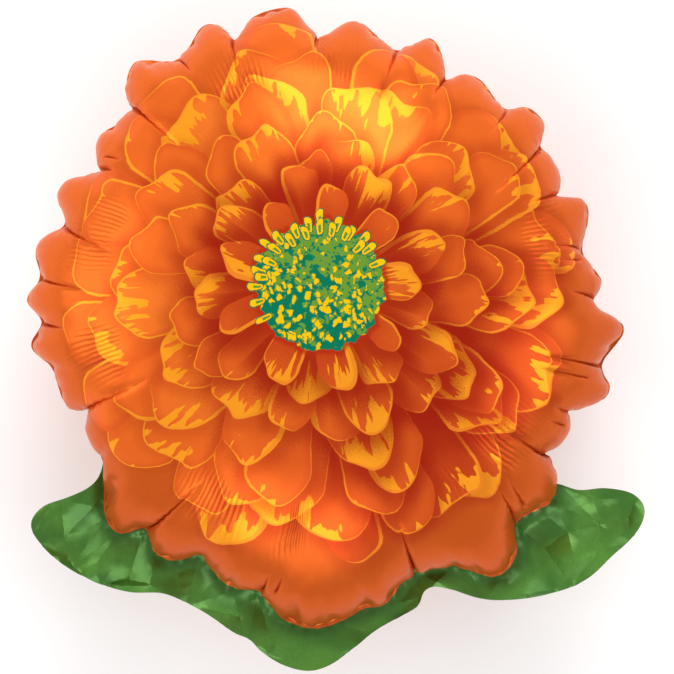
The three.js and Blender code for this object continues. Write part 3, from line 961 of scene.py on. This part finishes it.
def disc_print():
    """The flower's middle: florets and specks of yellow and green on teal, over a colour."""
    inputs = ("Below", "Radius", "Turn", "X", "Y", "Grain")
    tree, given = group_with("disc_print", inputs, ("Below",))
    radius, turn, x, y = (given[k] for k in ("Radius", "Turn", "X", "Y"))
    speckle = given["Grain"] - 0.5

    # Green patches on teal, most of them at the top right
    place = vector(tree, x, y)
    patch = (noise(place, 0.06, 2.0) + y * 0.004 + x * 0.002).rising(0.52, 0.55)
    ground = blend(patch, TEAL, LEAFY)
    ground = blend(noise(place, 0.2, 1.0).rising(0.57, 0.6), ground, TEAL_MOTTLE)

    # Bent yellow or green specks, smaller on the patches, some of them with green round them
    bent_x = x + (noise(place, 0.16, 1.0) - 0.5) * 9.0
    bent_y = y + (noise(vector(tree, x, y, 9.0), 0.16, 1.0) - 0.5) * 9.0
    spots = tree.nodes.new("ShaderNodeTexVoronoi")
    plug(tree, spots.inputs["Vector"], vector(tree, bent_x, bent_y * 0.8))
    spots.inputs["Scale"].default_value = 0.18
    kind, size, _ = parts_of(Field(tree, spots.outputs["Color"]), "Color")
    size = 0.32 + 0.2 * size - 0.26 * patch * kind
    outside = Field(tree, spots.outputs["Distance"]) - size + speckle * 0.12
    green_round = (outside - 0.13).rising(0.03, -0.03) * kind.rising(0.45, 0.47)
    ground = blend(green_round, ground, LEAFY)
    ground = blend(outside.rising(0.03, -0.03), ground, blend(kind.rising(0.16, 0.18), LEAFY, SPECK))

    # A ragged edge with a shadow round it
    ragged = noise(vector(tree, turn * 46.0, 2.0), 1.0, 1.0) - 0.5
    edge = radius - DISC_RADIUS + ragged * 13.0
    colour = blend(edge.rising(7.0, 2.0) * 0.8, given["Below"], MIDDLE_SHADOW)
    colour = blend(edge.rising(BLUR, -BLUR), colour, ground)

    # Two rings of club-shaped florets with an eye, left out by chance and more so at the bottom
    for count, middle, length, seed in ((27, 60.0, 4.5, 1.3), (23, 52.0, 4.0, 4.1)):
        cells = turn * count + seed
        cell = cells.math("FLOOR")
        first, second, third = three_numbers(vector(tree, cell.math("FLOORED_MODULO", count), seed))
        angle = (cells - cell - 0.5 + (first - 0.5) * 0.35) * (2 * math.pi / count)
        across = angle.math("SINE") * radius
        along = radius - middle - (second - 0.5) * 8.0
        swell = 3.0 + 0.09 * along + speckle * 1.3
        body = (along.math("ABSOLUTE") - length).math("MAXIMUM", 0.0)
        pill = (across * across + body * body).math("SQRT") - swell
        there = (third * 0.6 + y * 0.014 - x * 0.005).rising(0.36, 0.38)
        eye = (pill + 1.7).rising(0.3, -0.3) * along.rising(2.5, 1.5)
        colour = blend(pill.rising(1.2, 0.6) * there, colour, FLORET_EDGE)
        colour = blend(pill.rising(0.3, -0.3) * there, colour, blend(eye, FLORET, FLORET_EYE))
    output = tree.nodes.new("NodeGroupOutput")
    plug(tree, output.inputs[0], colour)
    return tree


RINGS = [  # petals, radius of their tips, half their width, seed, depth of the shadow under them
    (12, 290, 40, 0.2, 0.3), (11, 269, 42, 0.7, 0.35),
    (11, 247, 39, 0.1, 0.5), (10, 226, 38, 0.6, 0.6),
    (10, 203, 35, 0.35, 0.7), (9, 182, 34, 0.85, 0.75),
    (9, 160, 30, 0.15, 0.8), (9, 138, 26, 0.65, 0.85),
    (9, 118, 23, 0.4, 0.9), (9, 99, 19, 0.9, 1.0),
]


# Ripples round the whole flower, and the height of ripples and crinkle in metres
RIPPLES = 290.0
RIPPLE_HEIGHT = 0.00032
CRINKLE_HEIGHT = 0.0006


def add_group(tree, group, **values):
    node = tree.nodes.new("ShaderNodeGroup")
    node.node_tree = group
    for label, value in values.items():
        plug(tree, node.inputs[label], value)
    return Field(tree, node.outputs[0])


def foil(name, ring, disc, seed):
    """The printed foil of one side of the flower."""
    material, tree, shader = new_material(name)
    x, y, beyond = (part * 1000.0 for part in parts_of(attribute(tree, "cut", "Vector"), "XYZ"))
    place = vector(tree, x, y, float(seed))
    radius = (x * x + y * y).math("SQRT")
    turn = y.math("ARCTAN2", x) / (2 * math.pi) + 0.5
    wobble = noise(place, 1 / 45, 0.0)
    grain = noise(place, 1 / 1.1, 0.5)
    stroke = noise(vector(tree, turn * 120.0, radius / 48.0, float(seed)), 1.0, 2.0)

    # Dusk darkens the print towards the bottom right and round the middle
    dusk = (x * 0.7 - y * 0.7 + (wobble - 0.5) * 120.0).rising(-20.0, 210.0)
    dusk = dusk.math("MAXIMUM", radius.rising(160.0, 80.0) * 0.7)
    # Painted shade: the lobes' plain foil darkens towards the bottom right, as under a light from above
    lobes = blend((y + x * -0.4).rising(230.0, -230.0), LOBE, LOBE_PAINTED_SHADE)
    colour = blend(radius.rising(120.0, 280.0), blend(dusk, GROUND, GROUND_DUSK), lobes)
    for count, tip, half, shift, gloom in RINGS:
        colour = add_group(
            tree, ring, Below=colour, Radius=radius, Turn=turn, Wobble=wobble, Stroke=stroke,
            Grain=grain, Dusk=dusk, Count=count, Tip=tip, Half=half, Seed=shift + seed, Gloom=gloom,
        )
    colour = add_group(tree, disc, Below=colour, Radius=radius, Turn=turn, X=x, Y=y, Grain=grain)

    # A painted sheen as a paler rim on the heat seal, and painted shade as dark lines in the creases
    seal = beyond.rising(-SEAL_WIDTH - BLUR, -SEAL_WIDTH + BLUR)
    # Painted sheen: the flat seal is lighter, as if it gave back the light
    colour = blend(seal * 0.12, colour, SEAL_PAINTED_SHEEN)
    # Painted shade: dark lines where the film folds into the creases
    crease = attribute(tree, "fold", "Fac")
    colour = blend(crease.rising(0.2, 0.85) * 0.7, colour, CREASE_PAINTED_SHADE)
    plug(tree, shader.inputs["Base Color"], colour)

    # Fine parallel ripples, in patches of a band well inside the rim, and a slight crinkle all over
    patches = noise(vector(tree, turn * 14.0, float(seed) + 5.0), 1.0, 1.0).rising(0.5, 0.62)
    band = radius.rising(205.0, 228.0) * radius.rising(285.0, 262.0)
    wave = (turn * RIPPLES * 2 * math.pi + wobble * 9.0).math("SINE")
    ripple = wave * patches * band * RIPPLE_HEIGHT
    crinkle = noise(vector(tree, turn * 60.0, radius / 70.0), 1.0, 2.0) * CRINKLE_HEIGHT
    bump = tree.nodes.new("ShaderNodeBump")
    bump.inputs["Distance"].default_value = 1.0
    plug(tree, bump.inputs["Height"], ripple + crinkle * radius.rising(120.0, 260.0))
    tree.links.new(bump.outputs["Normal"], shader.inputs["Normal"])
    shader.inputs["Metallic"].default_value = 0.34
    shader.inputs["Specular IOR Level"].default_value = 0.12
    shader.inputs["Specular Tint"].default_value = (1.0, 0.5, 0.22, 1.0)
    plug(tree, shader.inputs["Roughness"], noise(place, 1 / 90, 3.0) * 0.12 + 0.22)
    return material


def leaf_foil():
    """The leaves' foil: mottled green, with painted shadow beside the flower."""
    material, tree, shader = new_material("leaf_print")
    place = attribute(tree, "cut", "Vector")
    tone = noise(place, 14.0, 3.0).rising(0.35, 0.65)
    fine = noise(place, 420.0, 2.0).rising(0.3, 0.7)
    colour = blend(fine * 0.3, blend(tone, LEAF_DARK, LEAF_PALE), LEAF_MOTTLE)
    beyond = parts_of(place, "XYZ")[2] * 1000.0
    # Painted shadow: the leaves darken where the flower's edge bulges over them
    shade = (beyond - tone * 14.0).rising(12.0, -6.0)
    plug(tree, shader.inputs["Base Color"], blend(shade * 0.7, colour, LEAF_SHADOW))
    plug(tree, shader.inputs["Roughness"], noise(place, 30.0, 3.0) * 0.04 + 0.3)
    shader.inputs["Metallic"].default_value = 0.3
    shader.inputs["Specular IOR Level"].default_value = 0.3
    return material


ring = petal_ring()
disc = disc_print()
leaf = leaf_foil()
for name, seed in (("front", 1), ("back", 2)):
    film = films[name + "_film"].data
    film.materials.append(foil(name + "_print", ring, disc, seed))
    film.materials.append(leaf)

valve, _, shader = new_material("valve_film")
shader.inputs["Base Color"].default_value = tint("#E4E6E2")
shader.inputs["Roughness"].default_value = 0.35
for ply in plies:
    ply.data.materials.append(valve)


# Floor, light and camera, in metres
def add(name, data, location):
    thing = bpy.data.objects.new(name, data)
    thing.location = location
    bpy.context.scene.collection.objects.link(thing)
    return thing


mesh = bpy.data.meshes.new("floor")
mesh.from_pydata([(-8, -8, 0), (8, -8, 0), (8, 8, 0), (-8, 8, 0)], [], [(0, 1, 2, 3)])
floor = add("floor", mesh, (0, 0, -0.0005))
paper, _, shader = new_material("pale_floor")
shader.inputs["Base Color"].default_value = (0.97, 0.97, 0.97, 1)
shader.inputs["Roughness"].default_value = 0.9
mesh.materials.append(paper)

LIGHT_TARGET = Vector((0, 0, 0.1))
for name, location, width, height, power in (
    ("key_softbox", (0.35, 2.6, 2.0), 2.0, 1.6, 58),
    ("left_softbox", (-2.6, 0.3, 1.3), 2.0, 1.4, 23),
    ("right_softbox", (2.6, -0.5, 1.5), 2.0, 1.4, 20),
    ("front_softbox", (-0.5, -2.6, 1.9), 2.2, 1.4, 34),
):
    light = bpy.data.lights.new(name, "AREA")
    light.shape = "RECTANGLE"
    light.size = width
    light.size_y = height
    light.energy = power
    lamp = add(name, light, location)
    lamp.rotation_euler = (LIGHT_TARGET - Vector(location)).to_track_quat("-Z", "Y").to_euler()

world = bpy.data.worlds.new("studio")
world.use_nodes = True
world.node_tree.nodes["Background"].inputs["Color"].default_value = (1, 1, 1, 1)
world.node_tree.nodes["Background"].inputs["Strength"].default_value = 0.6
bpy.context.scene.world = world
bpy.context.scene.view_settings.view_transform = "Standard"

# The photograph looks straight down on the flower. Its 674 pixels show 674 mm at the height of the seal
CAMERA_DISTANCE = 2.2
IMAGE_WIDTH = 0.674
IMAGE_MIDDLE = (FLOWER_CENTRE + (11.0, -27.0, 0.0)) / 1000
camera = bpy.data.cameras.new("camera")
camera.sensor_width = 36.0
camera.lens = camera.sensor_width * CAMERA_DISTANCE / IMAGE_WIDTH
camera.clip_end = 100
x, y, z = IMAGE_MIDDLE
bpy.context.scene.camera = add("camera", camera, (x, y, z + CAMERA_DISTANCE))
